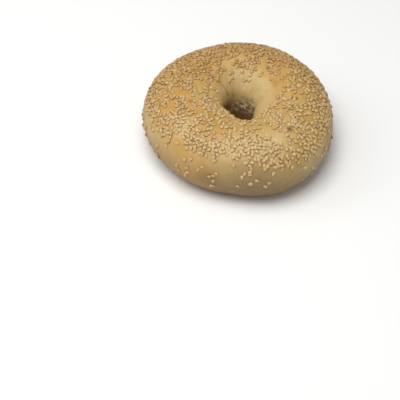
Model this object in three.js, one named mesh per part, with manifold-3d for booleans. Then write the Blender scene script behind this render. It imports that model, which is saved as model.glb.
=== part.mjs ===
// A sesame bagel: one uneven ring of dough, boiled and baked, with sesame seeds baked onto it.
// Millimetres, +Z up. The origin is under the middle of the ring, on the surface that it rests on.
// Around the ring, 0 degrees is +X and 90 degrees is +Y. Around its section, 0 degrees is the
// outside, 90 the crest and 180 the wall of the hole.

import * as THREE from "three";
import Module from "manifold-3d";
import { mergeVertices } from "three/addons/utils/BufferGeometryUtils.js";

// ---- Driving dimensions of the ring ----
const OUTER_RADIUS = 57.2;
const HOLE_RADIUS = 11.1;
const HEIGHT = 40.8;
const UNDERSIDE_CUT = 2.2; // how much of the round section the flat underside takes off
const NECK_RISE = 4; // how far the narrowest part of the hole lies above the section's middle
const HOLE_FOOT_ROUNDNESS = 0.26; // 1 is a round section low in the hole, less a steeper wall
const FUNNEL = { slope: 1, toward: 40 }; // the hole slopes on this side and is steep across from it

// Slow waves that make the ring uneven: how many lobes, how far they stand out, and toward where.
const OUTLINE_WAVES = [
  { lobes: 2, size: 1.2, toward: -45 },
  { lobes: 3, size: 0.9, toward: 60 },
];
// Flatter stretches of the outline: toward where, width in degrees, and rise, here inward.
const OUTLINE_FLATS = [
  { at: 120, width: 34, rise: -2.4 },
  { at: 269, width: 20, rise: -2.3 },
  { at: 50, width: 26, rise: -0.8 },
];
const HOLE_WAVES = [
  { lobes: 1, size: 0.7, toward: -66 },
  { lobes: 2, size: 1.8, toward: -88 },
  { lobes: 3, size: 0.6, toward: 43 },
  { lobes: 4, size: 0.8, toward: 20 },
];
const CREST_WAVES = [
  { lobes: 1, size: 0.5, toward: 150 },
  { lobes: 3, size: 0.4, toward: 20 },
];

// Broad swellings of the dough: place around the ring and the section, radius and rise.
const SWELLINGS = [
  { ring: 300, section: 50, radius: 20, rise: 0.5 },
  { ring: 165, section: 70, radius: 17, rise: 0.5 },
  { ring: 60, section: 120, radius: 14, rise: 0.5 },
];
const RING_STEPS = 60;
const SECTION_STEPS = 24;

// ---- Driving dimensions of the seeds ----
const SEED_COUNT = 190;
const SEED_SPACING = 4.4; // least distance between two seeds
const SEED_LENGTH = 3.05;
const SEED_WIDTH = 2.1;
const SEED_THICKNESS = 1.15;
const SEED_UNEVENNESS = 0.15; // share by which a seed may be larger or smaller
const SEED_TAPER = 0.38; // share by which the pointed end is narrower than the middle
const SEED_STAND = 0.08; // height of a seed's middle above the crust, as a share of its thickness
const SEED_TILT = 12; // degrees by which a seed may lie out of level with the crust
const SEED_SIDES = 6;
const SEED_RINGS = 3;
const RANDOM_START = 20;
const MOST_TRIES = 200000;

// Where the seeds end: on the outside they stop at a level that rises at the front, and in the
// hole they stop where the wall turns steep, sooner at the back. Angles in degrees.
const OUTSIDE_EDGE = {
  level: 25,
  rises: [
    { at: 214, width: 26, rise: 8 },
    { at: 262, width: 23, rise: 24 },
  ],
};
const HOLE_EDGE = {
  level: 139,
  rises: [
    { at: 85, width: 60, rise: -7 },
    { at: 262, width: 50, rise: 6 },
  ],
};
const EDGE_FADE = 7;
const CLUMP_SIZE = 2.4; // the seeds lie in clumps about three times this size across
// The clumps' pattern: how far each direction's waves sway with the other, how fast they do,
// and how much slower the waves of y run.
const CLUMP_SWAYS = { ofX: 1.7, alongY: 0.7, ofY: 1.3, alongX: 0.6, yPace: 0.9 };
// How far the seeds gather into clumps: little on the outside, more from the crest inward.
const CLUMPING = { from: 68, to: 104, outside: 0.05, inside: 0.5 };
const STRAY_SHARE = 0.12; // seeds on the pale flank below the edge, against the seeded crest
const SEED_RANGE = { from: -16, to: 160 }; // how far round the section seeds may lie

// Patches that lost their seeds: place around the ring and the section, radius and bareness.
const BARE_PATCHES = [
  { ring: 183, section: 87, radius: 4.0, bare: 0.95 },
  { ring: 197, section: 68, radius: 4.2, bare: 0.8 },
  { ring: 160, section: 111, radius: 4.5, bare: 0.7 },
  { ring: 165, section: 143, radius: 6.0, bare: 0.9 },
  { ring: 226, section: 41, radius: 5.0, bare: 0.85 },
  { ring: 238, section: 74, radius: 4.5, bare: 0.5 },
  { ring: 251, section: 87, radius: 5.0, bare: 0.75 },
  { ring: 108, section: 112, radius: 4.0, bare: 0.85 },
  { ring: 63, section: 101, radius: 3.5, bare: 0.8 },
  { ring: 38, section: 95, radius: 4.0, bare: 0.7 },
  { ring: 24, section: 121, radius: 6.0, bare: 0.9 },
  { ring: 39, section: 126, radius: 4.0, bare: 0.9 },
  { ring: 356, section: 90, radius: 6.5, bare: 0.75 },
  { ring: 4, section: 146, radius: 7.0, bare: 0.97 },
  { ring: 306, section: 78, radius: 6.0, bare: 0.85 },
  { ring: 296, section: 97, radius: 4.5, bare: 0.7 },
  { ring: 336, section: 68, radius: 3.5, bare: 0.6 },
  { ring: 312, section: 54, radius: 4.0, bare: 0.55 },
  { ring: 316, section: 75, radius: 2.4, bare: 1 },
  { ring: 353, section: 87, radius: 2.0, bare: 1 },
  { ring: 197, section: 98, radius: 2.4, bare: 1 },
];

// Small groups of seeds that stuck to the wall of the hole.
const HOLE_GROUPS = [
  { ring: 77, section: 147, radius: 2.6, share: 0.9 },
  { ring: 112, section: 143, radius: 2.4, share: 0.6 },
];

// ---- Small helpers ----
const radians = THREE.MathUtils.degToRad;

// The turn from one angle to another, the short way round.
function turnBetween(from, to) {
  return THREE.MathUtils.euclideanModulo(to - from + Math.PI, 2 * Math.PI) - Math.PI;
}

function waves(list, angle) {
  return list.reduce(
    (sum, wave) => sum + wave.size * Math.cos(wave.lobes * (angle - radians(wave.toward))),
    0,
  );
}

// The sum of local rises around the ring, such as those of an edge.
function risesAt(rises, ringDegrees) {
  return rises.reduce((sum, { at, width, rise }) => {
    const away = turnBetween(radians(ringDegrees), radians(at)) / radians(width);
    return sum + rise * Math.exp(-(away ** 2));
  }, 0);
}

function smoothRise(value, from, to) {
  const share = Math.min(Math.max((value - from) / (to - from), 0), 1);
  return share * share * (3 - 2 * share);
}

// A repeatable source of random numbers between 0 and 1.
function randomSource(start) {
  let state = start;
  return () => {
    state = (state + 0x6d2b79f5) | 0;
    let mix = Math.imul(state ^ (state >>> 15), 1 | state);
    mix = (mix + Math.imul(mix ^ (mix >>> 7), 61 | mix)) ^ mix;
    return ((mix ^ (mix >>> 14)) >>> 0) / 4294967296;
  };
}

// ---- The ring's surface ----
function outlineRadius(ringAngle) {
  const flats = risesAt(OUTLINE_FLATS, THREE.MathUtils.radToDeg(ringAngle));
  return OUTER_RADIUS + waves(OUTLINE_WAVES, ringAngle) + flats;
}

// The ring is not quite round, so its outline is moved to put the origin under the middle.
function outlineMiddle() {
  const outline = new THREE.Box2();
  for (let degree = 0; degree < 360; degree += 1) {
    const angle = radians(degree);
    const radius = outlineRadius(angle);
    outline.expandByPoint(new THREE.Vector2(radius * Math.cos(angle), radius * Math.sin(angle)));
  }
  return outline.getCenter(new THREE.Vector2());
}

const MIDDLE = outlineMiddle();
const CREST_RISE = CREST_WAVES.reduce((sum, wave) => sum + wave.size, 0);

// How far the dough's swellings lift the crust at a place.
function swelling(ringAngle, sectionAngle, ringRadius, sectionRadius) {
  return SWELLINGS.reduce((sum, { ring, section, radius, rise }) => {
    const along = turnBetween(ringAngle, radians(ring)) * ringRadius;
    const across = turnBetween(sectionAngle, radians(section)) * sectionRadius;
    return sum + rise * Math.exp(-(along ** 2 + across ** 2) / radius ** 2);
  }, 0);
}

function crustPoint(ringAngle, sectionAngle) {
  const outside = outlineRadius(ringAngle);
  const inside = HOLE_RADIUS + waves(HOLE_WAVES, ringAngle);
  const crest = HEIGHT - CREST_RISE + waves(CREST_WAVES, ringAngle);
  const middleRadius = (outside + inside) / 2;
  const halfWidth = (outside - inside) / 2;
  const halfHeight = (crest + UNDERSIDE_CUT) / 2;
  const lift = swelling(ringAngle, sectionAngle, middleRadius, halfHeight);
  const inward = Math.max(-Math.cos(sectionAngle), 0);
  const slope = FUNNEL.slope * Math.cos(ringAngle - radians(FUNNEL.toward));
  const upperWall = inward - slope * inward ** 2 * (1 - inward);
  const lowerWall = inward ** HOLE_FOOT_ROUNDNESS;
  const wall = Math.sin(sectionAngle) < 0 ? lowerWall : upperWall;
  const across = inward > 0 ? -wall : Math.cos(sectionAngle);
  const radius = middleRadius + (halfWidth + lift) * across;
  const rise = (halfHeight + lift) * Math.sin(sectionAngle) + NECK_RISE * inward ** 2;
  return new THREE.Vector3(
    radius * Math.cos(ringAngle) - MIDDLE.x,
    radius * Math.sin(ringAngle) - MIDDLE.y,
    Math.max(crest - halfHeight + rise, 0),
  );
}

// The crust's point, its outward direction and how much area a step of the two angles covers.
function crustPlace(ringAngle, sectionAngle) {
  const step = 1e-4;
  const point = crustPoint(ringAngle, sectionAngle);
  const along = crustPoint(ringAngle + step, sectionAngle).sub(point);
  const across = crustPoint(ringAngle, sectionAngle + step).sub(point);
  const outward = along.cross(across);
  const area = outward.length() / (step * step);
  return { point, outward: outward.normalize(), area };
}

function ringGeometry() {
  const geometry = new THREE.TorusGeometry(1, 0.5, SECTION_STEPS, RING_STEPS);
  const places = geometry.getAttribute("position");
  for (let j = 0; j <= SECTION_STEPS; j += 1) {
    for (let i = 0; i <= RING_STEPS; i += 1) {
      const ringAngle = ((i % RING_STEPS) / RING_STEPS) * 2 * Math.PI;
      const sectionAngle = ((j % SECTION_STEPS) / SECTION_STEPS) * 2 * Math.PI;
      const point = crustPoint(ringAngle, sectionAngle);
      places.setXYZ(j * (RING_STEPS + 1) + i, point.x, point.y, point.z);
    }
  }
  return geometry;
}

// ---- Where seeds lie ----
// A wandering pattern between -1 and 1 that gathers the seeds into clumps.
function clumping(point) {
  const x = point.x / CLUMP_SIZE;
  const y = point.y / CLUMP_SIZE;
  const { ofX, alongY, ofY, alongX, yPace } = CLUMP_SWAYS;
  const acrossX = Math.sin(x + ofX * Math.sin(alongY * y));
  const acrossY = Math.sin(yPace * y + ofY * Math.sin(alongX * x));
  return acrossX * acrossY;
}

function withPoints(places) {
  return places.map((place) => ({
    ...place,
    point: crustPoint(radians(place.ring), radians(place.section)),
  }));
}

const PATCHES = withPoints(BARE_PATCHES);
const GROUPS = withPoints(HOLE_GROUPS);

// The share of seeds kept at a place, between 0 and 1.
function seedCover(ringDegrees, sectionDegrees, point) {
  const start = OUTSIDE_EDGE.level + risesAt(OUTSIDE_EDGE.rises, ringDegrees);
  const end = HOLE_EDGE.level + risesAt(HOLE_EDGE.rises, ringDegrees);
  const outside = smoothRise(sectionDegrees, start - EDGE_FADE, start + EDGE_FADE);
  const hole = 1 - smoothRise(sectionDegrees, end - EDGE_FADE, end + EDGE_FADE);
  const inner = smoothRise(sectionDegrees, CLUMPING.from, CLUMPING.to);
  const gathered = THREE.MathUtils.lerp(CLUMPING.outside, CLUMPING.inside, inner);
  const kept = PATCHES.reduce((left, patch) => {
    const away = point.distanceTo(patch.point) / patch.radius;
    return left * (1 - patch.bare * Math.exp(-(away ** 4)));
  }, 1 - gathered * (0.5 - 0.5 * clumping(point)));
  const grouped = GROUPS.map(
    (group) => group.share * Math.exp(-((point.distanceTo(group.point) / group.radius) ** 4)),
  );
  const stray = sectionDegrees < 90 ? STRAY_SHARE : 0;
  return Math.max(outside * hole * kept, stray, ...grouped);
}

// Spots drawn evenly over the crust, a least distance apart. The cover is the chance that a
// spot holds a seed, and a spot without one stays empty.
function seedPlaces(count, spacing, random) {
  const largestArea = (OUTER_RADIUS * (OUTER_RADIUS - HOLE_RADIUS)) / 2;
  const spots = [];
  const places = [];
  for (let tries = 0; tries < MOST_TRIES && places.length < count; tries += 1) {
    const ringDegrees = 360 * random();
    const sectionDegrees = SEED_RANGE.from + (SEED_RANGE.to - SEED_RANGE.from) * random();
    const place = crustPlace(radians(ringDegrees), radians(sectionDegrees));
    const even = random() * largestArea < place.area;
    const seeded = random() < seedCover(ringDegrees, sectionDegrees, place.point);
    if (even && spots.every((spot) => spot.distanceTo(place.point) > spacing)) {
      spots.push(place.point);
      if (seeded) places.push(place);
    }
  }
  return places;
}

// ---- One seed: a flat drop, pointed at one end ----
function seedGeometry() {
  const geometry = new THREE.SphereGeometry(0.5, SEED_SIDES, SEED_RINGS);
  geometry.rotateZ(-Math.PI / 2);
  const places = geometry.getAttribute("position");
  for (let i = 0; i < places.count; i += 1) {
    const narrowing = 1 - SEED_TAPER * 2 * places.getX(i);
    places.setY(i, places.getY(i) * narrowing);
    places.setZ(i, places.getZ(i) * narrowing);
  }
  return geometry;
}

// Lays a seed on the crust with its flat side down, turned and tilted at random.
function laidSeed(place, random) {
  const size = 1 + SEED_UNEVENNESS * (2 * random() - 1);
  const turn = 2 * Math.PI * random();
  const tilt = radians(SEED_TILT) * (2 * random() - 1);
  const stand = new THREE.Quaternion().setFromUnitVectors(
    new THREE.Vector3(0, 0, 1),
    place.outward,
  );
  const spin = new THREE.Quaternion().setFromEuler(new THREE.Euler(0, tilt, turn, "ZYX"));
  const middle = place.point
    .clone()
    .addScaledVector(place.outward, SEED_STAND * SEED_THICKNESS * size);
  const scale = new THREE.Vector3(SEED_LENGTH, SEED_WIDTH, SEED_THICKNESS).multiplyScalar(size);
  const matrix = new THREE.Matrix4().compose(middle, stand.multiply(spin), scale);
  return seedGeometry().applyMatrix4(matrix);
}

// ---- Joining the seeds to the ring ----
const MERGED_WITHIN = 1e-5;
const wasm = await Module();
wasm.setup();

function solidOf(geometry) {
  const bare = geometry.clone();
  bare.deleteAttribute("normal");
  bare.deleteAttribute("uv");
  const merged = mergeVertices(bare, MERGED_WITHIN);
  return new wasm.Manifold(
    new wasm.Mesh({
      numProp: 3,
      vertProperties: new Float32Array(merged.getAttribute("position").array),
      triVerts: new Uint32Array(merged.getIndex().array),
    }),
  );
}

function geometryOf(solid) {
  const mesh = solid.getMesh();
  const geometry = new THREE.BufferGeometry();
  geometry.setAttribute("position", new THREE.BufferAttribute(mesh.vertProperties, 3));
  geometry.setIndex(new THREE.BufferAttribute(mesh.triVerts, 1));
  geometry.computeVertexNormals();
  return geometry;
}

function seededRing() {
  const random = randomSource(RANDOM_START);
  const places = seedPlaces(SEED_COUNT, SEED_SPACING, random);
  const seeds = places.map((place) => solidOf(laidSeed(place, random)));
  return geometryOf(seeds.reduce((solid, seed) => solid.add(seed), solidOf(ringGeometry())));
}

// ---- The bagel ----
const bakedCrust = new THREE.MeshStandardMaterial({
  color: "#c09d65",
  roughness: 0.62,
  metalness: 0,
});

const bagel = new THREE.Mesh(seededRing(), bakedCrust);
bagel.name = "bagel";

const group = new THREE.Group();
group.add(bagel);

export default group;
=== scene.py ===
"""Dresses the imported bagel: an uneven baked crust, its sesame seeds, and a plain stage.

Around the ring, 0 degrees is +X and 90 degrees is +Y. Around its section, 0 degrees is the
outside, 90 the crest, 180 the wall of the hole and 270 the underside.
"""

import math

import bmesh
import bpy
from mathutils import Matrix, Vector, noise
from mathutils.bvhtree import BVHTree
from mathutils.kdtree import KDTree


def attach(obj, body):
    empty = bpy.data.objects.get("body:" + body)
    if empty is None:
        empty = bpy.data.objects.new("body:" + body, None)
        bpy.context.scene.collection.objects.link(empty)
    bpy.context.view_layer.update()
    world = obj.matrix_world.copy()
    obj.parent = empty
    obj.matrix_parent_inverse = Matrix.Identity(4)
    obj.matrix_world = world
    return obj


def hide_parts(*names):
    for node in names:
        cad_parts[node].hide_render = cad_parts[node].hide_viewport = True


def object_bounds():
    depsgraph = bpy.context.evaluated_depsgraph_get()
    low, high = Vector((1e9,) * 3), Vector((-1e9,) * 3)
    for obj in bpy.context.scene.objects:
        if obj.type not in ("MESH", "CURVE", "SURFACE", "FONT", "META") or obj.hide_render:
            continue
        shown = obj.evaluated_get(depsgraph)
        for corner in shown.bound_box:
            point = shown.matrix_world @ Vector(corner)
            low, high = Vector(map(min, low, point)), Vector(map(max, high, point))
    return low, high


bl_info = {
    "name": "Sesame Bagel",
    "version": (1, 0, 0),
    "blender": (4, 5, 0),
    "location": "3D View > Sidebar > Bagel",
    "description": "Bakes a sesame bagel around its frame: crust, seeds and stage",
    "category": "Object",
}

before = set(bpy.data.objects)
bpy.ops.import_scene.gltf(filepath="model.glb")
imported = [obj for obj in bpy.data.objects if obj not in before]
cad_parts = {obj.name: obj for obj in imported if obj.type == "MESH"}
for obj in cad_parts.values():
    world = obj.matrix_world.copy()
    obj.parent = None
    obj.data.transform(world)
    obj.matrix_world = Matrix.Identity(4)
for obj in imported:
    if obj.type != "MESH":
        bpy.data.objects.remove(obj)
CAD_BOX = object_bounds()

MM = 0.001

# ---- The dough's form, the same as the frame's ----
# Slow waves that make the ring uneven: how many lobes, how far they stand out, toward where.
OUTLINE_WAVES = ((2, 1.2 * MM, -45), (3, 0.9 * MM, 60))
# Flatter stretches of the outline: toward where, width in degrees, and rise, here inward.
OUTLINE_FLATS = ((120, 34, -2.4 * MM), (269, 20, -2.3 * MM), (50, 26, -0.8 * MM))
HOLE_WAVES = (
    (1, 0.7 * MM, -66),
    (2, 1.8 * MM, -88),
    (3, 0.6 * MM, 43),
    (4, 0.8 * MM, 20),
)
CREST_WAVES = ((1, 0.5 * MM, 150), (3, 0.4 * MM, 20))
# Broad swellings: place around the ring and the section, radius and rise.
SWELLINGS = (
    (300, 50, 20 * MM, 0.5 * MM),
    (165, 70, 17 * MM, 0.5 * MM),
    (60, 120, 14 * MM, 0.5 * MM),
)
HOLE_FOOT_ROUNDNESS = 0.26  # 1 is a round section low in the hole, less a steeper wall
FUNNEL = (1, 40)  # how far the hole slopes toward this side, and is steep across from it
RING_STEPS = 384
SECTION_STEPS = 192
UNDERSIDE_ROUNDING = 1.6 * MM

# ---- Where the seeds lie ----
FRAME_SEEDS = 190
FRAME_SPACING = 4.4 * MM
SEED_UNEVENNESS = 0.15
SEED_TAPER = 0.38
SEED_STAND = 0.22
FRAME_TILT = 12
LOOKS_TILT = 24
SEED_ROLL = 12
GLAZED_ZONE = (85, 120)  # toward the hole the seeds sink into the glaze, from and to
GLAZED_STAND = 0.5  # how much of its stand a seed has there
FRAME_START = 20
LOOKS_START = 21
TINT_START = 22
BLISTER_START = 23
MOST_TRIES = 200000
# The seeds' edges round the section, and where round the ring they move: at, width, rise.
OUTSIDE_EDGE = (25, ((214, 26, 8), (262, 23, 24)))
HOLE_EDGE = (139, ((85, 60, -7), (262, 50, 6)))
EDGE_FADE = 7
CLUMP_SIZE = 2.4 * MM
# The clumps' pattern: sway of the waves of x and its pace, then of y, and the pace of y.
CLUMP_SWAYS = (1.7, 0.7, 1.3, 0.6, 0.9)
# How far the seeds gather into clumps: from and to round the section, outside and inside.
CLUMPING = (68, 104, 0.05, 0.5)
STRAY_SHARE = 0.12
SEED_RANGE = (-16, 160)  # how far round the section seeds may lie
PATCH_SHARPNESS = 4  # how sharply a bare patch or a small group of seeds ends
# Patches that lost their seeds: ring, section, radius, bareness, and how toasted they are.
BARE_PATCHES = (
    (183, 87, 4.0 * MM, 0.95, 1.0),
    (197, 68, 4.2 * MM, 0.8, 1.0),
    (160, 111, 4.5 * MM, 0.7, 0.6),
    (165, 143, 6.0 * MM, 0.9, 0.0),
    (226, 41, 5.0 * MM, 0.85, 0.5),
    (238, 74, 4.5 * MM, 0.5, 0.4),
    (251, 87, 5.0 * MM, 0.75, 0.5),
    (108, 112, 4.0 * MM, 0.85, 0.2),
    (63, 101, 3.5 * MM, 0.8, 0.45),
    (38, 95, 4.0 * MM, 0.7, 0.4),
    (24, 121, 6.0 * MM, 0.9, 0.3),
    (39, 126, 4.0 * MM, 0.9, 0.1),
    (356, 90, 6.5 * MM, 0.75, 0.2),
    (4, 146, 7.0 * MM, 0.97, 0.0),
    (306, 78, 6.0 * MM, 0.85, 0.0),
    (296, 97, 4.5 * MM, 0.7, 0.1),
    (336, 68, 3.5 * MM, 0.6, 0.4),
    (312, 54, 4.0 * MM, 0.55, 0.0),
    (316, 75, 2.4 * MM, 1.0, 0.2),
    (353, 87, 2.0 * MM, 1.0, 0.2),
    (197, 98, 2.4 * MM, 1.0, 0.3),
)

# Small groups of seeds that stuck to the wall of the hole: ring, section, radius, share.
HOLE_GROUPS = ((77, 147, 2.6 * MM, 0.9), (112, 143, 2.4 * MM, 0.6))


def turn_between(start, end):
    """The turn from one angle to another, the short way round."""
    return (end - start + math.pi) % (2 * math.pi) - math.pi


def waves(wave_list, angle):
    return sum(
        size * math.cos(lobes * (angle - math.radians(toward)))
        for lobes, size, toward in wave_list
    )


def rises_at(rises, ring):
    """The sum of local rises around the ring, such as those of an edge."""
    total = 0.0
    for at, width, rise in rises:
        away = turn_between(math.radians(ring), math.radians(at)) / math.radians(width)
        total += rise * math.exp(-away * away)
    return total


def smooth_rise(value, start, end):
    share = min(max((value - start) / (end - start), 0.0), 1.0)
    return share * share * (3 - 2 * share)


def rounded_floor(height, rounding):
    """Keeps a height at or above zero, with the corner rounded off."""
    near = max(rounding - abs(height), 0.0) / rounding
    return max(height, 0.0) + near * near * rounding / 4


def random_source(start):
    """A repeatable source of random numbers between 0 and 1, the same as the frame's."""
    state = start
    word = 0xFFFFFFFF

    def draw():
        nonlocal state
        state = (state + 0x6D2B79F5) & word
        mix = ((state ^ (state >> 15)) * (1 | state)) & word
        mix = ((mix + (mix ^ (mix >> 7)) * (61 | mix)) & word) ^ mix
        return (mix ^ (mix >> 14)) / (word + 1)

    return draw


class Dough:
    """The ring's surface as a function of the angle round the ring and round its section."""

    def __init__(self, ring):
        self.outer_radius = ring.outer_radius
        self.hole_radius = ring.hole_radius
        self.height = ring.height
        self.underside_cut = ring.underside_cut
        self.neck_rise = ring.neck_rise
        self.middle_radius = (ring.outer_radius + ring.hole_radius) / 2
        self.half_width = (ring.outer_radius - ring.hole_radius) / 2
        self.crest_rise = sum(size for _, size, _ in CREST_WAVES)
        self.middle = self.outline_middle()

    def outline_radius(self, ring_angle):
        flats = rises_at(OUTLINE_FLATS, math.degrees(ring_angle))
        return self.outer_radius + waves(OUTLINE_WAVES, ring_angle) + flats

    def outline_middle(self):
        outline = []
        for degree in range(360):
            angle = math.radians(degree)
            radius = self.outline_radius(angle)
            outline.append((radius * math.cos(angle), radius * math.sin(angle)))
        xs, ys = zip(*outline)
        return (min(xs) + max(xs)) / 2, (min(ys) + max(ys)) / 2

    def point(self, ring_angle, section_angle, rounding=0.0):
        outside = self.outline_radius(ring_angle)
        inside = self.hole_radius + waves(HOLE_WAVES, ring_angle)
        crest = self.height - self.crest_rise + waves(CREST_WAVES, ring_angle)
        middle_radius = (outside + inside) / 2
        half_width = (outside - inside) / 2
        half_height = (crest + self.underside_cut) / 2
        lift = 0.0
        for ring, section, radius, rise in SWELLINGS:
            along = turn_between(ring_angle, math.radians(ring)) * middle_radius
            around = turn_between(section_angle, math.radians(section)) * half_height
            lift += rise * math.exp(-(along * along + around * around) / (radius * radius))
        inward = max(-math.cos(section_angle), 0.0)
        slope = FUNNEL[0] * math.cos(ring_angle - math.radians(FUNNEL[1]))
        wall = inward - slope * inward**2 * (1 - inward)
        if math.sin(section_angle) < 0:
            wall = inward**HOLE_FOOT_ROUNDNESS
        across = -wall if inward > 0 else math.cos(section_angle)
        radius = middle_radius + (half_width + lift) * across
        rise = (half_height + lift) * math.sin(section_angle) + self.neck_rise * inward**2
        height = crest - half_height + rise
        return Vector(
            (
                radius * math.cos(ring_angle) - self.middle[0],
                radius * math.sin(ring_angle) - self.middle[1],
                rounded_floor(height, rounding) if rounding else max(height, 0.0),
            )
        )


class CrustPlace:
    """A place on the crust: its angles in degrees, its point and its outward direction."""

    def __init__(self, dough, ring, section):
        step = 1e-4
        ring_angle, section_angle = math.radians(ring), math.radians(section)
        self.ring, self.section = ring, section
        self.point = dough.point(ring_angle, section_angle)
        along = dough.point(ring_angle + step, section_angle) - self.point
        across = dough.point(ring_angle, section_angle + step) - self.point
        outward = along.cross(across)
        self.area = outward.length / (step * step)
        self.outward = outward.normalized()


def edge_level(edge, ring):
    level, rises = edge
    return level + rises_at(rises, ring)


def clumping(point):
    """A wandering pattern between -1 and 1 that gathers the seeds into clumps."""
    x, y = point.x / CLUMP_SIZE, point.y / CLUMP_SIZE
    of_x, along_y, of_y, along_x, y_pace = CLUMP_SWAYS
    across_x = math.sin(x + of_x * math.sin(along_y * y))
    across_y = math.sin(y_pace * y + of_y * math.sin(along_x * x))
    return across_x * across_y


def glaze_share(section):
    return smooth_rise(section, GLAZED_ZONE[0], GLAZED_ZONE[1])


def points_at(dough, places):
    """The crust's points at places that start with their ring and section."""
    return [dough.point(math.radians(place[0]), math.radians(place[1])) for place in places]


def seed_cover(place, patches, groups):
    """The share of seeds kept at a place, between 0 and 1."""
    start, end = edge_level(OUTSIDE_EDGE, place.ring), edge_level(HOLE_EDGE, place.ring)
    outside = smooth_rise(place.section, start - EDGE_FADE, start + EDGE_FADE)
    hole = 1 - smooth_rise(place.section, end - EDGE_FADE, end + EDGE_FADE)
    inner = smooth_rise(place.section, CLUMPING[0], CLUMPING[1])
    gathered = CLUMPING[2] + (CLUMPING[3] - CLUMPING[2]) * inner
    kept = 1 - gathered * (0.5 - 0.5 * clumping(place.point))
    for (_, _, radius, bare, _), point in zip(BARE_PATCHES, patches):
        kept *= 1 - bare * math.exp(-(((place.point - point).length / radius) ** PATCH_SHARPNESS))
    grouped = [
        share * math.exp(-(((place.point - point).length / radius) ** PATCH_SHARPNESS))
        for (_, _, radius, share), point in zip(HOLE_GROUPS, groups)
    ]
    stray = STRAY_SHARE if place.section < 90 else 0.0
    return max(outside * hole * kept, stray, *grouped)


def scatter(dough, count, spacing, draw, taken=()):
    """Spots drawn evenly over the crust, a least distance apart. The cover is the chance that
    a spot holds a seed, and a spot without one stays empty."""
    patches, groups = points_at(dough, BARE_PATCHES), points_at(dough, HOLE_GROUPS)
    largest_area = dough.outer_radius * dough.half_width
    cells = {}

    def cell(point):
        return tuple(math.floor(value / spacing) for value in point)

    def crowded(point):
        x, y, z = cell(point)
        return any(
            (other - point).length <= spacing
            for i in (x - 1, x, x + 1)
            for j in (y - 1, y, y + 1)
            for k in (z - 1, z, z + 1)
            for other in cells.get((i, j, k), ())
        )

    for place in taken:
        cells.setdefault(cell(place.point), []).append(place.point)
    places = []
    tries = 0
    while tries < MOST_TRIES and len(places) < count:
        tries += 1
        ring = 360 * draw()
        section = SEED_RANGE[0] + (SEED_RANGE[1] - SEED_RANGE[0]) * draw()
        place = CrustPlace(dough, ring, section)
        even = draw() * largest_area < place.area
        chance = draw()
        if even and not crowded(place.point):
            cells.setdefault(cell(place.point), []).append(place.point)
            if chance < seed_cover(place, patches, groups):
                places.append(place)
    return places


def seed_beds(dough, seeds):
    """Every seed as (place, size, turn, tilt): the frame's own seeds first, then the rest."""
    beds = []
    drawn = (
        (FRAME_SEEDS, FRAME_SPACING, FRAME_START, FRAME_TILT),
        (seeds.count, seeds.spacing, LOOKS_START, LOOKS_TILT),
    )
    for count, spacing, start, most_tilt in drawn:
        draw = random_source(start)
        for place in scatter(dough, count, spacing, draw, [bed[0] for bed in beds]):
            beds.append([place])
        for bed in beds:
            if len(bed) == 1:
                size = 1 + SEED_UNEVENNESS * (2 * draw() - 1)
                turn = 2 * math.pi * draw()
                tilt = math.radians(most_tilt) * (2 * draw() - 1)
                bed += [size, turn, tilt]
    return beds


# ---- The crust's fine form ----
BROAD_UNEVENNESS = (18 * MM, 0.28 * MM)  # size of the noise and how far it moves the crust
MIDDLE_UNEVENNESS = (6 * MM, 0.13 * MM)
FINE_UNEVENNESS = (2.2 * MM, 0.05 * MM)
HOLE_FOLDS = (2.2 * MM, 12 * MM, 0.5 * MM)  # width, length and depth of the folds in the hole
# Where round the section the hole starts, how much sooner toward one side, and which side.
HOLE_START = (132, 9, 60)
HOLE_START_FADE = 18  # degrees over which it starts
HOLE_END = (215, 245)  # degrees between which it ends, at its foot
UNDERSIDE_RANGE = (240, 300)  # where round the section the underside may be
UNDERSIDE_DIMPLES = (9 * MM, 0.5 * MM)
BLISTERS = 90
BLISTER_RADIUS = (0.9 * MM, 1.7 * MM)
BLISTER_RISE = (0.10 * MM, 0.24 * MM)
PORES = 34
PORE_RADIUS = 0.75 * MM
PORE_SIZES = (0.7, 0.5)  # the smallest pore's share of the radius, and what the largest adds
PORE_DEPTH = 0.45 * MM
OPEN_PORE_DEPTH = 1.4 * PORE_DEPTH
BLEMISH_REACH = 2.2  # how many radii away a blister or pore still moves the crust
SEED_BED_RADIUS = 1.35 * MM
SEED_BED_DEPTH = 0.16 * MM
SEED_SHADE_RADIUS = 1.25 * MM
SEED_SHADE_REACH = 2.5 * SEED_SHADE_RADIUS
CROWDING = (0.35, 0.7)  # closeness from which painted shade darkens the crust between seeds, and its reach
# Open pores at the smallest dark spots: ring, section.
OPEN_PORES = ((353, 87), (53, 111), (197, 98))
# Creases where the dough wrinkled: ring and section of both ends, half width and depth.
CREASES = (
    (181, 39, 201, 43, 0.7 * MM, 0.3 * MM),
    (136, 136, 124, 172, 0.7 * MM, 1.4 * MM),
    (112, 150, 106, 180, 0.6 * MM, 0.8 * MM),
    (58, 158, 66, 180, 0.7 * MM, 0.6 * MM),
)
# A crease fades toward its ends: where its half wave starts, and how much of it there is.
CREASE_FADE = (0.15, 0.7)
# Where the wall of the hole tore into pale flakes: ring, section and radius.
FLAKES = (
    (94, 201, 4.4 * MM),
    (74, 199, 5.4 * MM),
    (52, 193, 5.0 * MM),
    (33, 180, 3.6 * MM),
)
FLAKE_UNEVENNESS = (2.4 * MM, 1.1 * MM)  # size of the noise and how far it moves the wall
FLAKE_LAYERS = (1.0, 2.0, 3)  # how the layers of that noise fade and get finer, and how many


def noise_at(point, size):
    return noise.noise(point / size)


def crease_lines(dough):
    """Each crease as its two ends, half width and depth."""
    return [
        (*points_at(dough, ((ring, section), (end_ring, end_section))), width, depth)
        for ring, section, end_ring, end_section, width, depth in CREASES
    ]


def flake_middles(dough):
    return list(zip(points_at(dough, FLAKES), [radius for _, _, radius in FLAKES]))


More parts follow.
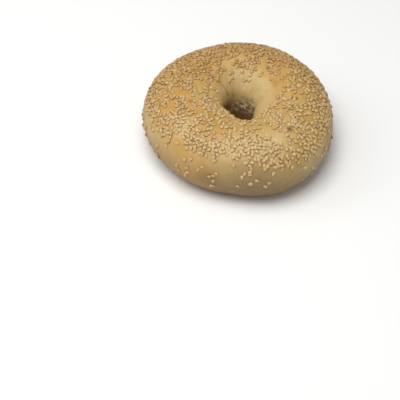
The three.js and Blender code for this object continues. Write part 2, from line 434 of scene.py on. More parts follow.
def flake_share(flakes, point):
    """How torn the wall of the hole is at a point, from 0 to 1."""
    return max(math.exp(-(((point - middle).length / radius) ** 2)) for middle, radius in flakes)


def crease_depth(creases, point):
    total = 0.0
    for start, end, width, depth in creases:
        along = end - start
        share = min(max((point - start).dot(along) / along.length_squared, 0.0), 1.0)
        away = (point - start - along * share).length / width
        deep = math.sin(math.pi * (CREASE_FADE[0] + CREASE_FADE[1] * share))
        total += depth * deep * math.exp(-away * away)
    return total


def spot_tree(points):
    tree = KDTree(len(points))
    for index, point in enumerate(points):
        tree.insert(point, index)
    tree.balance()
    return tree


class Blemishes:
    """Blisters, which stand out, and pores, which are pits, scattered over the whole ring."""

    def __init__(self, dough):
        draw = random_source(BLISTER_START)
        self.spots = []
        for number in range(BLISTERS + PORES):
            angles = 2 * math.pi * draw(), 2 * math.pi * draw()
            share = draw()
            radius = BLISTER_RADIUS[0] + share * (BLISTER_RADIUS[1] - BLISTER_RADIUS[0])
            rise = BLISTER_RISE[0] + draw() * (BLISTER_RISE[1] - BLISTER_RISE[0])
            if number >= BLISTERS:
                radius = PORE_RADIUS * (PORE_SIZES[0] + PORE_SIZES[1] * share)
                rise = -PORE_DEPTH
            self.spots.append((dough.point(*angles), radius, rise))
        for ring, section in OPEN_PORES:
            point = dough.point(math.radians(ring), math.radians(section))
            self.spots.append((point, PORE_RADIUS, -OPEN_PORE_DEPTH))
        self.reach = BLEMISH_REACH * max(radius for _, radius, _ in self.spots)
        self.tree = spot_tree([point for point, _, _ in self.spots])

    def rise(self, point):
        total = 0.0
        for _, index, distance in self.tree.find_range(point, self.reach):
            _, radius, rise = self.spots[index]
            total += rise * math.exp(-((distance / radius) ** 2))
        return total


def hole_share(ring, section):
    """1 on the wall of the hole, 0 on the crest and the underside. Section from 0 to 360."""
    level, sway, toward = HOLE_START
    start = level - sway * math.cos(math.radians(ring - toward))
    started = smooth_rise(section, start, start + HOLE_START_FADE)
    return started * (1 - smooth_rise(section, HOLE_END[0], HOLE_END[1]))


def crust_relief(dough, creases, flakes, point, ring, section):
    """How far the fine form moves the crust outward at a point."""
    rise = noise_at(point, BROAD_UNEVENNESS[0]) * BROAD_UNEVENNESS[1]
    rise += noise_at(point, MIDDLE_UNEVENNESS[0]) * MIDDLE_UNEVENNESS[1]
    rise += noise_at(point, FINE_UNEVENNESS[0]) * FINE_UNEVENNESS[1]
    width, length, depth = HOLE_FOLDS
    along = math.radians(ring) * dough.hole_radius
    across = math.radians(section) * dough.half_width
    fold = noise.noise(Vector((along / width, across / length, 0.0)))
    rise += hole_share(ring, section) * fold * depth
    size, height = FLAKE_UNEVENNESS
    rise += flake_share(flakes, point) * noise.fractal(point / size, *FLAKE_LAYERS) * height
    return rise - crease_depth(creases, point)


def ring_and_section(dough, point):
    """The angles, in degrees from 0 to 360, of a point on the plain torus."""
    ring = math.degrees(math.atan2(point.y, point.x)) % 360
    away = math.hypot(point.x, point.y) - dough.middle_radius
    return ring, math.degrees(math.atan2(point.z, away)) % 360


def shape_crust(dough, beds):
    """The crust as a bmesh, with each vertex's angles and how closely seeds surround it,
    which sets the painted shade between seeds.
    """
    bm = bmesh.new()
    upright = Matrix.Translation((dough.middle_radius, 0, 0)) @ Matrix.Rotation(
        math.pi / 2, 4, "X"
    )
    bmesh.ops.create_circle(
        bm, segments=SECTION_STEPS, radius=dough.half_width, matrix=upright
    )
    bmesh.ops.spin(
        bm,
        geom=bm.verts[:] + bm.edges[:],
        cent=(0, 0, 0),
        axis=(0, 0, 1),
        angle=2 * math.pi,
        steps=RING_STEPS,
        use_merge=True,
    )
    angles = [ring_and_section(dough, vert.co) for vert in bm.verts]
    for vert, (ring, section) in zip(bm.verts, angles):
        vert.co = dough.point(math.radians(ring), math.radians(section), UNDERSIDE_ROUNDING)
    bmesh.ops.recalc_face_normals(bm, faces=bm.faces)
    bm.normal_update()

    blemishes = Blemishes(dough)
    creases, flakes = crease_lines(dough), flake_middles(dough)
    bed_tree = spot_tree([bed[0].point for bed in beds])
    closeness = []
    for vert, (ring, section) in zip(bm.verts, angles):
        point = vert.co.copy()
        around = bed_tree.find_range(point, SEED_SHADE_REACH)
        shade = sum(math.exp(-((away / SEED_SHADE_RADIUS) ** 2)) for _, _, away in around)
        closeness.append(min(max(shade - CROWDING[0], 0.0) / CROWDING[1], 1.0))
        _, _, distance = bed_tree.find(point)
        rise = crust_relief(dough, creases, flakes, point, ring, section)
        rise += blemishes.rise(point)
        rise -= SEED_BED_DEPTH * math.exp(-((distance / SEED_BED_RADIUS) ** 2))
        under = UNDERSIDE_RANGE[0] < section < UNDERSIDE_RANGE[1]
        if under and point.z < UNDERSIDE_ROUNDING:
            size, depth = UNDERSIDE_DIMPLES
            vert.co.z += depth * max(noise_at(point, size), 0.0)
            rise = abs(noise_at(point, FINE_UNEVENNESS[0])) * FINE_UNEVENNESS[1]
            vert.co.z += rise
        else:
            vert.co += vert.normal * rise
            vert.co.z = max(vert.co.z, 0.0)
    return bm, angles, closeness


# ---- How baked each place is, and its painted shade and highlights, as shares from 0 to 1 that the crust's material reads ----
# Zones of paler crust, on the front crest partly a painted highlight: ring, section, radius,
# strength.
PALE_AND_HIGHLIGHT_ZONES = (
    (270, 58, 15 * MM, 0.9),
    (292, 68, 15 * MM, 1.0),
    (312, 80, 12 * MM, 0.8),
    (2, 138, 9 * MM, 0.4),
    (226, 62, 8 * MM, 0.4),
    (165, 143, 7 * MM, 0.7),
    (92, 118, 11 * MM, 0.95),
    (342, 100, 12 * MM, 0.25),
    (240, 44, 12 * MM, 0.6),
    (186, 118, 9 * MM, 0.6),
)
# Zones of painted highlight, a whitish sheen on the front crest and painted light on the flanks;
# then zones that took on more colour, and a zone of painted shade.
HIGHLIGHT_ZONES = (
    (281, 68, 7.0 * MM, 1.0),
    (264, 60, 6.5 * MM, 0.65),
    (297, 67, 6.0 * MM, 0.8),
    (222, 66, 6.5 * MM, 0.85),
    (199, 16, 13.0 * MM, 0.3),
    (325, 23, 8.0 * MM, 0.4),
    (316, 12, 8.0 * MM, 0.28),
)
WARM_ZONES = (
    (238, 12, 17 * MM, 0.8),
    (222, 2, 12 * MM, 0.6),
    (212, 82, 16 * MM, 0.7),
    (258, 84, 9 * MM, 0.9),
    (190, 78, 11 * MM, 0.7),
)
# Painted shade low on the front flank, laid in the low flank's shade colour.
FRONT_SHADE_ZONES = ((281, 18, 15 * MM, 0.5),)
SCORCH_SPOTS = (
    (316, 77, 2.0 * MM, 1.0),
    (251, 6, 6.5 * MM, 0.4),
    (197, 98, 1.2 * MM, 0.7),
    (354, 88, 1.1 * MM, 1.0),
    (53, 110, 1.2 * MM, 1.0),
)
FLANK_FADE = (14, 10)  # degrees below and above the seeds' edge
LOW_SHADE_HEIGHTS = (8 * MM, 34 * MM)  # heights between which painted shade darkens the flank downward
# Painted shade darkens the hole's wall between these degrees round the section, later toward one
# side.
HOLE_SHADE_RANGE = (166, 192, 18, 45)
CREASE_SHADE_DEPTH = 1.2 * MM  # depth at which a crease's painted shade is darkest
UNDERSIDE_FADE = (0.4 * MM, 7.5 * MM)  # heights in which the browned underside ends
CONTACT_FADE = (0.3 * MM, 1.6 * MM)  # heights in which the marks of the board end
TOAST_REACH = 1.15  # how far a bare patch is toasted, in radii
FAIR_GAPS = 0.45  # how much weaker the painted shade between seeds is where the crust is pale, highlighted or glazed
BACK_TOASTING = 0.3  # how toasted the back is, which fades out between these degrees
BACK_FADE = (98, 122)
FLAKE_PALENESS = 0.35  # how much less painted shade the wall of the hole gets where it tore


def baking_shares(dough, points, angles, closeness):
    patches = points_at(dough, BARE_PATCHES)
    creases, flakes = crease_lines(dough), flake_middles(dough)
    spots = {
        name: list(zip(points_at(dough, places), *list(zip(*places))[2:]))
        for name, places in (
            ("pale", PALE_AND_HIGHLIGHT_ZONES),
            ("painted_highlight", HIGHLIGHT_ZONES),
            ("warm", WARM_ZONES),
            ("browned", FRONT_SHADE_ZONES),
            ("scorch", SCORCH_SPOTS),
        )
    }
    names = ("flank", "painted_low_shade", "hole", "painted_hole_shade", "flakes", "crease", "underside")
    shares = {name: [] for name in (*names, "contact", "toast", "seeded", *spots)}
    for point, (ring, section), close in zip(points, angles, closeness):
        # Past the underside, the low outer side counts as a level below zero.
        level = section - 360 if section > 270 else section
        edge = edge_level(OUTSIDE_EDGE, ring)
        outside = 1.0 if level < 90 else 0.0
        flank = 1 - smooth_rise(level, edge - FLANK_FADE[0], edge + FLANK_FADE[1])
        shares["flank"].append(flank * outside)
        # Painted shade: the outer side darker toward the bottom.
        low = 1 - smooth_rise(point.z, LOW_SHADE_HEIGHTS[0], LOW_SHADE_HEIGHTS[1])
        shares["painted_low_shade"].append(low * outside)
        shares["hole"].append(hole_share(ring, section))
        # Painted shade low in the hole's wall, weaker where the wall tore.
        start, end, swing, toward = HOLE_SHADE_RANGE
        later = swing * math.cos(math.radians(ring - toward))
        depth = smooth_rise(section, start + later, end + later) * (1 - outside)
        flaky = flake_share(flakes, point)
        shares["flakes"].append(flaky)
        shares["painted_hole_shade"].append(depth * (1 - FLAKE_PALENESS * flaky))
        # Painted shade in the creases.
        shares["crease"].append(min(crease_depth(creases, point) / CREASE_SHADE_DEPTH, 1.0))
        shares["underside"].append(1 - smooth_rise(point.z, UNDERSIDE_FADE[0], UNDERSIDE_FADE[1]))
        shares["contact"].append(1 - smooth_rise(point.z, CONTACT_FADE[0], CONTACT_FADE[1]))
        toast = BACK_TOASTING * max(math.sin(math.radians(ring)), 0.0)
        toast *= 1 - smooth_rise(level, BACK_FADE[0], BACK_FADE[1])
        for (_, _, radius, _, strength), middle in zip(BARE_PATCHES, patches):
            away = (point - middle).length / (TOAST_REACH * radius)
            toast = max(toast, strength * math.exp(-away * away))
        shares["toast"].append(toast)
        for name, places in spots.items():
            share = 0.0
            for middle, radius, strength in places:
                away = (point - middle).length / radius
                share = max(share, strength * math.exp(-away * away))
            shares[name].append(share)
        # Painted shade between crowded seeds, weaker where the crust is pale, highlighted or glazed.
        fair = max(shares["pale"][-1], shares["painted_highlight"][-1], glaze_share(level))
        shares["seeded"].append(close * (1 - FAIR_GAPS * fair))
    return shares


# ---- Materials ----
def linear(hex_colour):
    """An sRGB hex colour as linear red, green, blue and alpha."""
    values = [int(hex_colour[i : i + 2], 16) / 255 for i in (1, 3, 5)]
    parts = [v / 12.92 if v <= 0.04045 else ((v + 0.055) / 1.055) ** 2.4 for v in values]
    return (*parts, 1.0)


def add_node(tree, kind, inputs=None, **settings):
    """Adds a node with its settings, and with its inputs as values or linked sockets."""
    node = tree.nodes.new(kind)
    for name, value in settings.items():
        setattr(node, name, value)
    for name, value in (inputs or {}).items():
        socket = node.inputs[name]
        if isinstance(value, bpy.types.NodeSocket):
            tree.links.new(value, socket)
        else:
            socket.default_value = value
    return node


def new_material(name):
    material = bpy.data.materials.new(name)
    material.use_nodes = True
    material.node_tree.nodes.clear()
    return material


# The mix node's sockets for colours, by number, as its names repeat.
MIX_A, MIX_B, MIX_RESULT = 6, 7, 2
MOTTLE_SIZE = 11 * MM
CLOUD_SIZE = 4 * MM
GRAIN_SIZE = 0.9 * MM
MICRO_BLISTER_SIZE = 1.5 * MM
SKIN_SIZE = 0.45 * MM
TORN_SIZE = 2.9 * MM
SEED_RIDGE_SIZE = 0.5 * MM
CARD_FIBRE_SIZE = 0.8 * MM
TORN_STRETCH = (1, 1, 1.9)  # the torn flakes lie flat, so their pattern is squeezed upright


def baked_crust(colours):
    """Wheat crust, boiled and then baked: a satin, slightly waxy skin that browns where it
    stands high, stays pale on the flank and in the hole, and has a fine blistered grain. Its
    colour also holds painted shade between seeds, in creases, low on the flank and low in the
    hole, and painted highlights on the crest, the flanks and the torn flakes."""
    material = new_material("Baked wheat crust")
    tree = material.node_tree
    place = add_node(tree, "ShaderNodeTexCoord").outputs["Object"]

    sizes = {"mottle": MOTTLE_SIZE, "clouds": CLOUD_SIZE, "grain": GRAIN_SIZE, "skin": SKIN_SIZE}
    noises = {
        name: add_node(
            tree,
            "ShaderNodeTexNoise",
            {"Vector": place, "Scale": 1 / size, "Detail": 4, "Roughness": 0.6},
        ).outputs["Fac"]
        for name, size in sizes.items()
    }
    wobble = add_node(
        tree, "ShaderNodeMath", {0: noises["clouds"], 1: 0.5}, operation="SUBTRACT"
    ).outputs[0]
    mottling = add_node(
        tree,
        "ShaderNodeMapRange",
        {"Value": noises["mottle"], "From Min": 0.35, "From Max": 0.68},
        interpolation_type="SMOOTHSTEP",
    ).outputs["Result"]
    colour = add_node(
        tree,
        "ShaderNodeMix",
        {0: mottling, MIX_A: colours.golden, MIX_B: colours.deep_golden},
        data_type="RGBA",
    ).outputs[MIX_RESULT]
    squeezed = add_node(
        tree, "ShaderNodeMapping", {"Vector": place, "Scale": TORN_STRETCH}
    ).outputs["Vector"]
    torn_noise = add_node(
        tree,
        "ShaderNodeTexNoise",
        {"Vector": squeezed, "Scale": 1 / TORN_SIZE, "Detail": 3, "Roughness": 0.65},
    ).outputs["Fac"]
    torn = add_node(
        tree,
        "ShaderNodeMapRange",
        {"Value": torn_noise, "From Min": 0.4, "From Max": 0.54},
        interpolation_type="SMOOTHSTEP",
    ).outputs["Result"]
    # Each layer: the attribute that says where it lies, its strength, how far the clouds make
    # its edge ragged, and its colour.
    layers = (
        # Paler crust, on the front crest partly a painted highlight.
        ("pale", 0.9, 0.7, colours.pale_and_highlight_golden),
        ("toast", 0.88, 0.6, colours.toasted),
        ("flank", 0.94, 0.35, colours.flank),
        # Painted shade, darker toward the bottom of the flank.
        ("painted_low_shade", 0.8, 0.15, colours.painted_low_shade),
        ("warm", 0.55, 0.5, colours.warm),
        # Painted shade low on the front flank.
        ("browned", 0.8, 0.15, colours.painted_low_shade),
        ("hole", 0.92, 0.35, colours.hole),
        # Painted highlight: whitish sheen on the front crest, lighter crust on the flanks.
        ("painted_highlight", 0.75, 0.5, colours.painted_highlight),
        # Painted shade low in the hole.
        ("painted_hole_shade", 0.95, 0.8, colours.painted_hole_shade),
        # Pale torn crumb, lightened further as a painted highlight.
        ("flakes", 0.8, 0.0, colours.flakes),
        # Painted shade in the creases.
        ("crease", 0.6, 0.0, colours.painted_recess_shade),
        ("underside", 0.9, 0.5, colours.underside),
        ("contact", 0.6, 0.0, colours.contact),
        # Painted shade between crowded seeds.
        ("seeded", 0.8, 0.0, colours.painted_recess_shade),
        ("scorch", 0.95, 0.0, colours.scorch),
    )
    patterns = {"flakes": torn, "contact": mottling}
    shares = {}
    for name, strength, raggedness, tone in layers:
        share = add_node(
            tree, "ShaderNodeAttribute", attribute_name=name, attribute_type="GEOMETRY"
        ).outputs["Fac"]
        if name in patterns:
            share = add_node(
                tree, "ShaderNodeMath", {0: share, 1: patterns[name]}, operation="MULTIPLY"
            ).outputs[0]
        shares[name] = share
        ragged = add_node(
            tree,
            "ShaderNodeMath",
            {0: wobble, 1: raggedness, 2: share},
            operation="MULTIPLY_ADD",
            use_clamp=True,
        ).outputs[0]
        laid = add_node(
            tree, "ShaderNodeMath", {0: ragged, 1: strength}, operation="MULTIPLY"
        ).outputs[0]
        colour = add_node(
            tree, "ShaderNodeMix", {0: laid, MIX_A: colour, MIX_B: tone}, data_type="RGBA"
        ).outputs[MIX_RESULT]
    for name, darkest, lightest in (("grain", 0.92, 1.06), ("clouds", 0.9, 1.08)):
        shade = add_node(
            tree,
            "ShaderNodeMapRange",
            {
                "Value": noises[name],
                "From Min": 0.3,
                "From Max": 0.7,
                "To Min": darkest,
                "To Max": lightest,
            },
        ).outputs["Result"]
        colour = add_node(
            tree, "ShaderNodeVectorMath", {0: colour, 1: shade}, operation="MULTIPLY"
        ).outputs[0]

    roughness = add_node(
        tree,
        "ShaderNodeMapRange",
        {"Value": noises["clouds"], "From Min": 0.3, "From Max": 0.7, "To Min": 0.44, "To Max": 0.6},
    ).outputs["Result"]
    # Low in the hole the crumb is torn and dry, so the skin's sheen stops there.
    sheen = add_node(
        tree, "ShaderNodeMapRange", {"Value": shares["painted_hole_shade"], "To Min": 0.45, "To Max": 0.05}
    ).outputs["Result"]
    micro = add_node(
        tree,
        "ShaderNodeTexVoronoi",
        {"Vector": place, "Scale": 1 / MICRO_BLISTER_SIZE, "Smoothness": 0.6},
        feature="SMOOTH_F1",
    ).outputs["Distance"]
    blisters = add_node(
        tree, "ShaderNodeBump", {"Height": micro, "Strength": 0.5, "Distance": 0.14 * MM}
    ).outputs["Normal"]
    flaky = add_node(
        tree,
        "ShaderNodeBump",
        {"Height": shares["flakes"], "Strength": 0.8, "Distance": 0.9 * MM, "Normal": blisters},
    ).outputs["Normal"]
    skin = add_node(
        tree,
        "ShaderNodeBump",
        {
            "Height": noises["skin"],
            "Strength": 0.7,
            "Distance": 0.11 * MM,
            "Normal": flaky,
        },
    ).outputs["Normal"]
    surface = add_node(
        tree,
        "ShaderNodeBsdfPrincipled",
        {
            "Base Color": colour,
            "Roughness": roughness,
            "IOR": 1.45,
            "Specular IOR Level": sheen,
            "Subsurface Weight": 0.12,
            "Subsurface Radius": (1.0, 0.5, 0.22),
            "Subsurface Scale": 1.5 * MM,
            "Normal": skin,
        },
    ).outputs["BSDF"]
    add_node(tree, "ShaderNodeOutputMaterial", {"Surface": surface})
    return material


def hulled_sesame(colours):
    """Hulled sesame, toasted on the crust: smooth oily seeds from cream to light brown, each
    darker at its tip, and along the edge that the crust holds with part browning and part
    painted shade where the seed meets the crust."""
    material = new_material("Toasted hulled sesame")
    tree = material.node_tree
    place = add_node(tree, "ShaderNodeTexCoord").outputs["Object"]
    tint = add_node(
        tree, "ShaderNodeAttribute", attribute_name="toasting", attribute_type="GEOMETRY"
    ).outputs["Fac"]
    colour = add_node(
        tree,
        "ShaderNodeMix",
        {0: tint, MIX_A: colours.pale_seed, MIX_B: colours.toasted_seed},
        data_type="RGBA",
    ).outputs[MIX_RESULT]
    # The tip browns; the held edge is part browning, part painted shade where the seed meets the
    # crust.
    for name, strength in (("tip", 0.35), ("browned_shaded_seat", 0.5)):
        share = add_node(
            tree, "ShaderNodeAttribute", attribute_name=name, attribute_type="GEOMETRY"
        ).outputs["Fac"]
        laid = add_node(
            tree, "ShaderNodeMath", {0: share, 1: strength}, operation="MULTIPLY"
        ).outputs[0]
        colour = add_node(
            tree,
            "ShaderNodeMix",
            {0: laid, MIX_A: colour, MIX_B: colours.browned_shaded_seed_edge},
            data_type="RGBA",
        ).outputs[MIX_RESULT]
    ridges = add_node(
        tree, "ShaderNodeTexNoise", {"Vector": place, "Scale": 1 / SEED_RIDGE_SIZE, "Detail": 2}
    ).outputs["Fac"]
    normal = add_node(
        tree, "ShaderNodeBump", {"Height": ridges, "Strength": 0.3, "Distance": 0.08 * MM}
    ).outputs["Normal"]
    surface = add_node(
        tree,
        "ShaderNodeBsdfPrincipled",
        {
            "Base Color": colour,
            "Roughness": 0.42,
            "IOR": 1.47,
            "Specular IOR Level": 0.5,
            "Subsurface Weight": 0.1,
            "Subsurface Radius": (1.0, 0.6, 0.3),
            "Subsurface Scale": 0.8 * MM,
            "Normal": normal,
        },
    ).outputs["BSDF"]
    add_node(tree, "ShaderNodeOutputMaterial", {"Surface": surface})
    return material


def matt_card(colours):
    """Matt white card: an even, slightly fibrous sheet with no gloss."""
    material = new_material("Matt white card")
    tree = material.node_tree
    place = add_node(tree, "ShaderNodeTexCoord").outputs["Object"]
    fibres = add_node(
        tree, "ShaderNodeTexNoise", {"Vector": place, "Scale": 1 / CARD_FIBRE_SIZE, "Detail": 3}
    ).outputs["Fac"]
    normal = add_node(
        tree, "ShaderNodeBump", {"Height": fibres, "Strength": 0.1, "Distance": 0.05 * MM}
    ).outputs["Normal"]
    surface = add_node(
        tree,
        "ShaderNodeBsdfPrincipled",
        {"Base Color": colours.floor, "Roughness": 0.9, "IOR": 1.45, "Normal": normal},
    ).outputs["BSDF"]
    add_node(tree, "ShaderNodeOutputMaterial", {"Surface": surface})
    return material


# ---- Making objects ----
def object_from(bm, name, material):
    mesh = bpy.data.meshes.new(name)
    bm.to_mesh(mesh)
    bm.free()
    mesh.shade_smooth()
    mesh.materials.append(material)
    piece = bpy.data.objects.new(name, mesh)
    bpy.context.scene.collection.objects.link(piece)
    return piece


def write_attribute(mesh, name, values):
    attribute = mesh.attributes.new(name, "FLOAT", "POINT")
    attribute.data.foreach_set("value", values)


SEED_SIDES = 8
SEED_RINGS = 6
TIP_SHARPNESS = 3  # how closely a seed's darker tip keeps to its pointed end
SEAT_FADE = (-0.05, 0.3)  # heights, in thicknesses, in which the held edge's darkening, part browning and part painted shade, ends


def seed_shape(taper):
    """A seed one unit long: a flat drop with its pointed end toward +X."""
    bm = bmesh.new()
    bmesh.ops.create_uvsphere(bm, u_segments=SEED_SIDES, v_segments=SEED_RINGS, radius=0.5)
    bmesh.ops.rotate(bm, verts=bm.verts, matrix=Matrix.Rotation(math.pi / 2, 3, "Y"))
    for vert in bm.verts:
        narrowing = 1 - taper * 2 * vert.co.x
        vert.co.y *= narrowing
        vert.co.z *= narrowing
    bmesh.ops.recalc_face_normals(bm, faces=bm.faces)
    return bm


SEED_TOASTING = 0.4
BACK_SEED_TOASTING = (0.3, 98)  # how much more at the back, and where round the ring most
HOLE_SEED_PALENESS = (0.5, 120, 140)  # how much less in the hole, and between which degrees
CLUSTER_PALENESS = 0.42
TOASTING_UNEVENNESS = 0.7
# Clusters of paler, less toasted seeds, partly a painted highlight: ring, section, radius.
PALE_AND_HIGHLIGHT_CLUSTERS = (
    (222, 66, 8 * MM),
    (259, 54, 7 * MM),
    (283, 60, 11 * MM),
    (318, 40, 12 * MM),
    (352, 62, 12 * MM),
)


def seed_toasting(dough, place, draw):
    """How toasted a seed is, from 0 to 1: more at the back, less in the hole, and less in clusters
    that partly paint a highlight.
    """
    more, toward = BACK_SEED_TOASTING
    toasting = SEED_TOASTING + more * math.cos(math.radians(place.ring - toward))
    less, start, end = HOLE_SEED_PALENESS
    toasting -= less * smooth_rise(place.section, start, end)
    for ring, section, radius in PALE_AND_HIGHLIGHT_CLUSTERS:
        middle = dough.point(math.radians(ring), math.radians(section))
        away = (place.point - middle).length / radius
        toasting -= CLUSTER_PALENESS * math.exp(-away * away)
    return min(max(toasting + TOASTING_UNEVENNESS * (draw() - 0.5), 0.0), 1.0)


class BagelRing(bpy.types.PropertyGroup):
    """Sizes of the ring of dough."""

    outer_radius: bpy.props.FloatProperty(
        name="Outer radius",
        description="Mean distance from the hole's axis to the outside",
        default=57.2 * MM,
        unit="LENGTH",
    )
    hole_radius: bpy.props.FloatProperty(
        name="Hole radius",
        description="Mean radius of the hole at its neck",
        default=11.1 * MM,
        unit="LENGTH",
    )
    height: bpy.props.FloatProperty(
        name="Height",
        description="Height of the crest above the underside, without seeds",
        default=40.8 * MM,
        unit="LENGTH",
    )
    underside_cut: bpy.props.FloatProperty(
        name="Underside cut",
        description="How much of the round section the flat underside takes off",
        default=2.2 * MM,
        unit="LENGTH",
    )
    neck_rise: bpy.props.FloatProperty(
        name="Neck rise",
        description="How far the hole's narrowest part lies above the section's middle",
        default=4.0 * MM,
        unit="LENGTH",
    )


class BagelSeeds(bpy.types.PropertyGroup):
    """Sizes and number of the sesame seeds."""

    length: bpy.props.FloatProperty(
        name="Length", description="Length of a seed", default=3.05 * MM, unit="LENGTH"
    )
    width: bpy.props.FloatProperty(
        name="Width", description="Width of a seed", default=2.1 * MM, unit="LENGTH"
    )
    thickness: bpy.props.FloatProperty(
        name="Thickness", description="Thickness of a seed", default=1.15 * MM, unit="LENGTH"
    )
    spacing: bpy.props.FloatProperty(
        name="Spacing",
        description="Least distance between the middles of two seeds",
        default=1.7 * MM,
        unit="LENGTH",
    )
    count: bpy.props.IntProperty(
        name="Count",
        description="Seeds to place besides those of the frame",
        default=1250,
        min=0,
    )


def colour_property(label, description, hex_colour):
    return bpy.props.FloatVectorProperty(
        name=label,
        description=description,
        default=linear(hex_colour),
        size=4,
        min=0,
        max=1,
        subtype="COLOR",
    )


class BagelColours(bpy.types.PropertyGroup):
    """Colours of the crust, the seeds and the floor."""

    golden: colour_property("Golden", "The crest's lighter crust", "#C8A15B")
    deep_golden: colour_property("Deep golden", "The crest's darker crust", "#B58D49")
    # Pale crust, partly a painted highlight on the front crest.
    pale_and_highlight_golden: colour_property("Pale golden", "The crest's palest crust", "#C9AE72")
    # Painted highlight: a whitish sheen, and lighter crust on the flanks.
    painted_highlight: colour_property("Bloom", "Dry whitish crust", "#E1CD9A")
    # Pale torn crumb, lightened further as a painted highlight.
    flakes: colour_property("Flakes", "Torn flakes low in the hole", "#E9D6A8")
    toasted: colour_property("Toasted", "Bare patches of the crest", "#BA8741")
    # Painted shade between crowded seeds and in creases.
    painted_recess_shade: colour_property("Between seeds", "Crust close to a seed", "#7C5628")
    flank: colour_property("Flank", "The pale band round the side", "#BEA26B")
    # Painted shade low on the flank.
    painted_low_shade: colour_property("Low flank", "The lower part of the side", "#6B5331")
    warm: colour_property("Warm", "Where the crust took on more colour", "#C99448")
    hole: colour_property("Hole", "The upper wall of the hole", "#C6AD76")
    # Painted shade low in the hole.
    painted_hole_shade: colour_property("Hole depth", "The wall low in the hole", "#845424")
    underside: colour_property("Underside", "The browned flat underside", "#9A6C3A")
    contact: colour_property("Contact", "Where the underside lay on the board", "#714519")
    scorch: colour_property("Scorch", "Small browned spots", "#664214")
    pale_seed: colour_property("Pale seed", "The least toasted seeds", "#CDB07A")
    toasted_seed: colour_property("Toasted seed", "The most toasted seeds", "#B08850")
    # A seed's browned tip, and its held edge, part browning and part painted shade.
    browned_shaded_seed_edge: colour_property("Seed edge", "The tip and the held edge of a seed", "#8C6432")
    floor: colour_property("Floor", "The plain floor", "#F4F4F2")


class BAGEL_OT_crust(bpy.types.Operator):
    """Bake the ring of crust with its dimples, blisters and folds"""

    bl_idname = "bagel.crust"
    bl_label = "Crust"

    def execute(self, context):
        scene = context.scene
        dough = Dough(scene.bagel_ring)
        beds = seed_beds(dough, scene.bagel_seeds)
        bm, angles, closeness = shape_crust(dough, beds)
        points = [vert.co.copy() for vert in bm.verts]
        crust = object_from(bm, "crust", baked_crust(scene.bagel_colours))
        for name, values in baking_shares(dough, points, angles, closeness).items():
            write_attribute(crust.data, name, values)
        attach(crust, "root")
        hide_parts("bagel")
        return {"FINISHED"}


class BAGEL_OT_seeds(bpy.types.Operator):
    """Lay the sesame seeds on the crust"""

    bl_idname = "bagel.seeds"
    bl_label = "Sesame seeds"

    def execute(self, context):
        scene = context.scene
        if "crust" not in bpy.data.objects:
            raise RuntimeError("bake the crust before laying the seeds")
        seeds = scene.bagel_seeds
        dough = Dough(scene.bagel_ring)
        crust = BVHTree.FromObject(
            bpy.data.objects["crust"], context.evaluated_depsgraph_get()
        )
        draw = random_source(TINT_START)
        shape = seed_shape(SEED_TAPER)
        single = bpy.data.meshes.new("seed")
        shape.to_mesh(single)
        tips = [(vert.co.x + 0.5) ** TIP_SHARPNESS for vert in shape.verts]
        seats = [1 - smooth_rise(vert.co.z, SEAT_FADE[0], SEAT_FADE[1]) for vert in shape.verts]
        shape.free()

        joined = bmesh.new()
        toasting, tip, browned_shaded_seat = [], [], []
        for place, size, turn, tilt in seed_beds(dough, seeds):
            bed, _, _, _ = crust.find_nearest(place.point)
            sunk = 1 - (1 - GLAZED_STAND) * glaze_share(place.section)
            stand = SEED_STAND * seeds.thickness * size * sunk
            roll = math.radians(SEED_ROLL) * (2 * draw() - 1)
            matrix = (
                Matrix.Translation(bed + place.outward * stand)
                @ Vector((0, 0, 1)).rotation_difference(place.outward).to_matrix().to_4x4()
                @ Matrix.Rotation(turn, 4, "Z")
                @ Matrix.Rotation(tilt, 4, "Y")
                @ Matrix.Rotation(roll, 4, "X")
                @ Matrix.Diagonal(
                    (seeds.length * size, seeds.width * size, seeds.thickness * size, 1)
                )
            )
            laid = single.copy()
            laid.transform(matrix)
            joined.from_mesh(laid)
            bpy.data.meshes.remove(laid)
            toasting += [seed_toasting(dough, place, draw)] * len(tips)
            tip += tips
            browned_shaded_seat += seats
        bpy.data.meshes.remove(single)
        piece = object_from(joined, "sesame_seeds", hulled_sesame(scene.bagel_colours))
        write_attribute(piece.data, "toasting", toasting)
        write_attribute(piece.data, "tip", tip)
        write_attribute(piece.data, "browned_shaded_seat", browned_shaded_seat)
        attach(piece, "root")
        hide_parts("bagel")
        return {"FINISHED"}


# ---- Stage ----
VIEW_ELEVATION = 45
VIEW_DISTANCE = 0.75
LENS = 112
SENSOR = 36
FRAME_PIXELS = 400
BAGEL_PIXEL = (234.9, 113.2)  # where the bagel's middle falls in the frame, from the top left
FLOOR_SIZE = 3.0
# The lights: name, place, size in metres and power in watts.
LIGHTS = (
    ("softbox", (-0.14, -0.16, 0.88), 0.6, 6.5),
    ("window", (-0.75, 0.0, 0.6), 0.5, 1.4),
)
WORLD_STRENGTH = 0.36


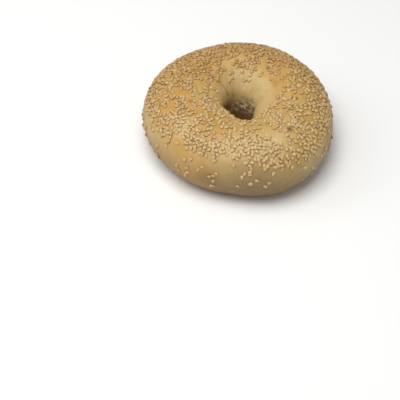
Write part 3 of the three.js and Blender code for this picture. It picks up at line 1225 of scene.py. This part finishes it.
class BAGEL_OT_stage(bpy.types.Operator):
    """Set the floor, the soft studio light and the camera"""

    bl_idname = "bagel.stage"
    bl_label = "Stage"

    def execute(self, context):
        scene = context.scene
        bm = bmesh.new()
        bmesh.ops.create_grid(bm, x_segments=1, y_segments=1, size=FLOOR_SIZE / 2)
        floor = object_from(bm, "floor", matt_card(scene.bagel_colours))
        middle = Vector((0, 0, CAD_BOX[1][2] / 2))
        for name, place, size, power in LIGHTS:
            self.light(name, place, size, power, middle)
        world = bpy.data.worlds.new("Pale room")
        world.use_nodes = True
        background = world.node_tree.nodes["Background"]
        background.inputs["Color"].default_value = (1, 1, 1, 1)
        background.inputs["Strength"].default_value = WORLD_STRENGTH
        scene.world = world
        scene.view_settings.view_transform = "Standard"
        self.camera(scene, middle)
        return {"FINISHED"}

    def light(self, name, place, size, power, target):
        lamp = bpy.data.lights.new(name, "AREA")
        lamp.size = size
        lamp.energy = power
        lamp_object = bpy.data.objects.new(name, lamp)
        lamp_object.location = place
        toward = target - lamp_object.location
        lamp_object.rotation_euler = toward.to_track_quat("-Z", "Y").to_euler()
        bpy.context.scene.collection.objects.link(lamp_object)

    def camera(self, scene, middle):
        data = bpy.data.cameras.new("camera")
        data.lens, data.sensor_width = LENS, SENSOR
        elevation = math.radians(VIEW_ELEVATION)
        toward = Vector((0, math.cos(elevation), -math.sin(elevation)))
        right = Vector((1, 0, 0))
        up = right.cross(toward)
        metres_per_pixel = VIEW_DISTANCE * SENSOR / LENS / FRAME_PIXELS
        across = (BAGEL_PIXEL[0] - FRAME_PIXELS / 2) * metres_per_pixel
        above = (FRAME_PIXELS / 2 - BAGEL_PIXEL[1]) * metres_per_pixel
        aim = middle - right * across - up * above
        camera = bpy.data.objects.new("camera", data)
        camera.location = middle - toward * VIEW_DISTANCE
        gaze = aim - camera.location
        camera.rotation_euler = gaze.to_track_quat("-Z", "Y").to_euler()
        scene.collection.objects.link(camera)
        scene.camera = camera


OPERATORS = (BAGEL_OT_stage, BAGEL_OT_crust, BAGEL_OT_seeds)


class BAGEL_PT_panel(bpy.types.Panel):
    bl_idname = "BAGEL_PT_panel"
    bl_label = "Sesame bagel"
    bl_space_type = "VIEW_3D"
    bl_region_type = "UI"
    bl_category = "Bagel"

    def draw(self, context):
        scene = context.scene
        for group in (scene.bagel_ring, scene.bagel_seeds, scene.bagel_colours):
            box = self.layout.box()
            for name in group.__annotations__:
                box.prop(group, name)
        for operator in OPERATORS:
            self.layout.operator(operator.bl_idname)


CLASSES = (BagelRing, BagelSeeds, BagelColours, *OPERATORS, BAGEL_PT_panel)


def register():
    for cls in CLASSES:
        bpy.utils.register_class(cls)
    bpy.types.Scene.bagel_ring = bpy.props.PointerProperty(type=BagelRing)
    bpy.types.Scene.bagel_seeds = bpy.props.PointerProperty(type=BagelSeeds)
    bpy.types.Scene.bagel_colours = bpy.props.PointerProperty(type=BagelColours)


def unregister():
    del bpy.types.Scene.bagel_colours
    del bpy.types.Scene.bagel_seeds
    del bpy.types.Scene.bagel_ring
    for cls in reversed(CLASSES):
        bpy.utils.unregister_class(cls)


def main():
    register()
    bpy.ops.bagel.stage()
    bpy.ops.bagel.crust()
    bpy.ops.bagel.seeds()


if __name__ == "__main__":
    main()
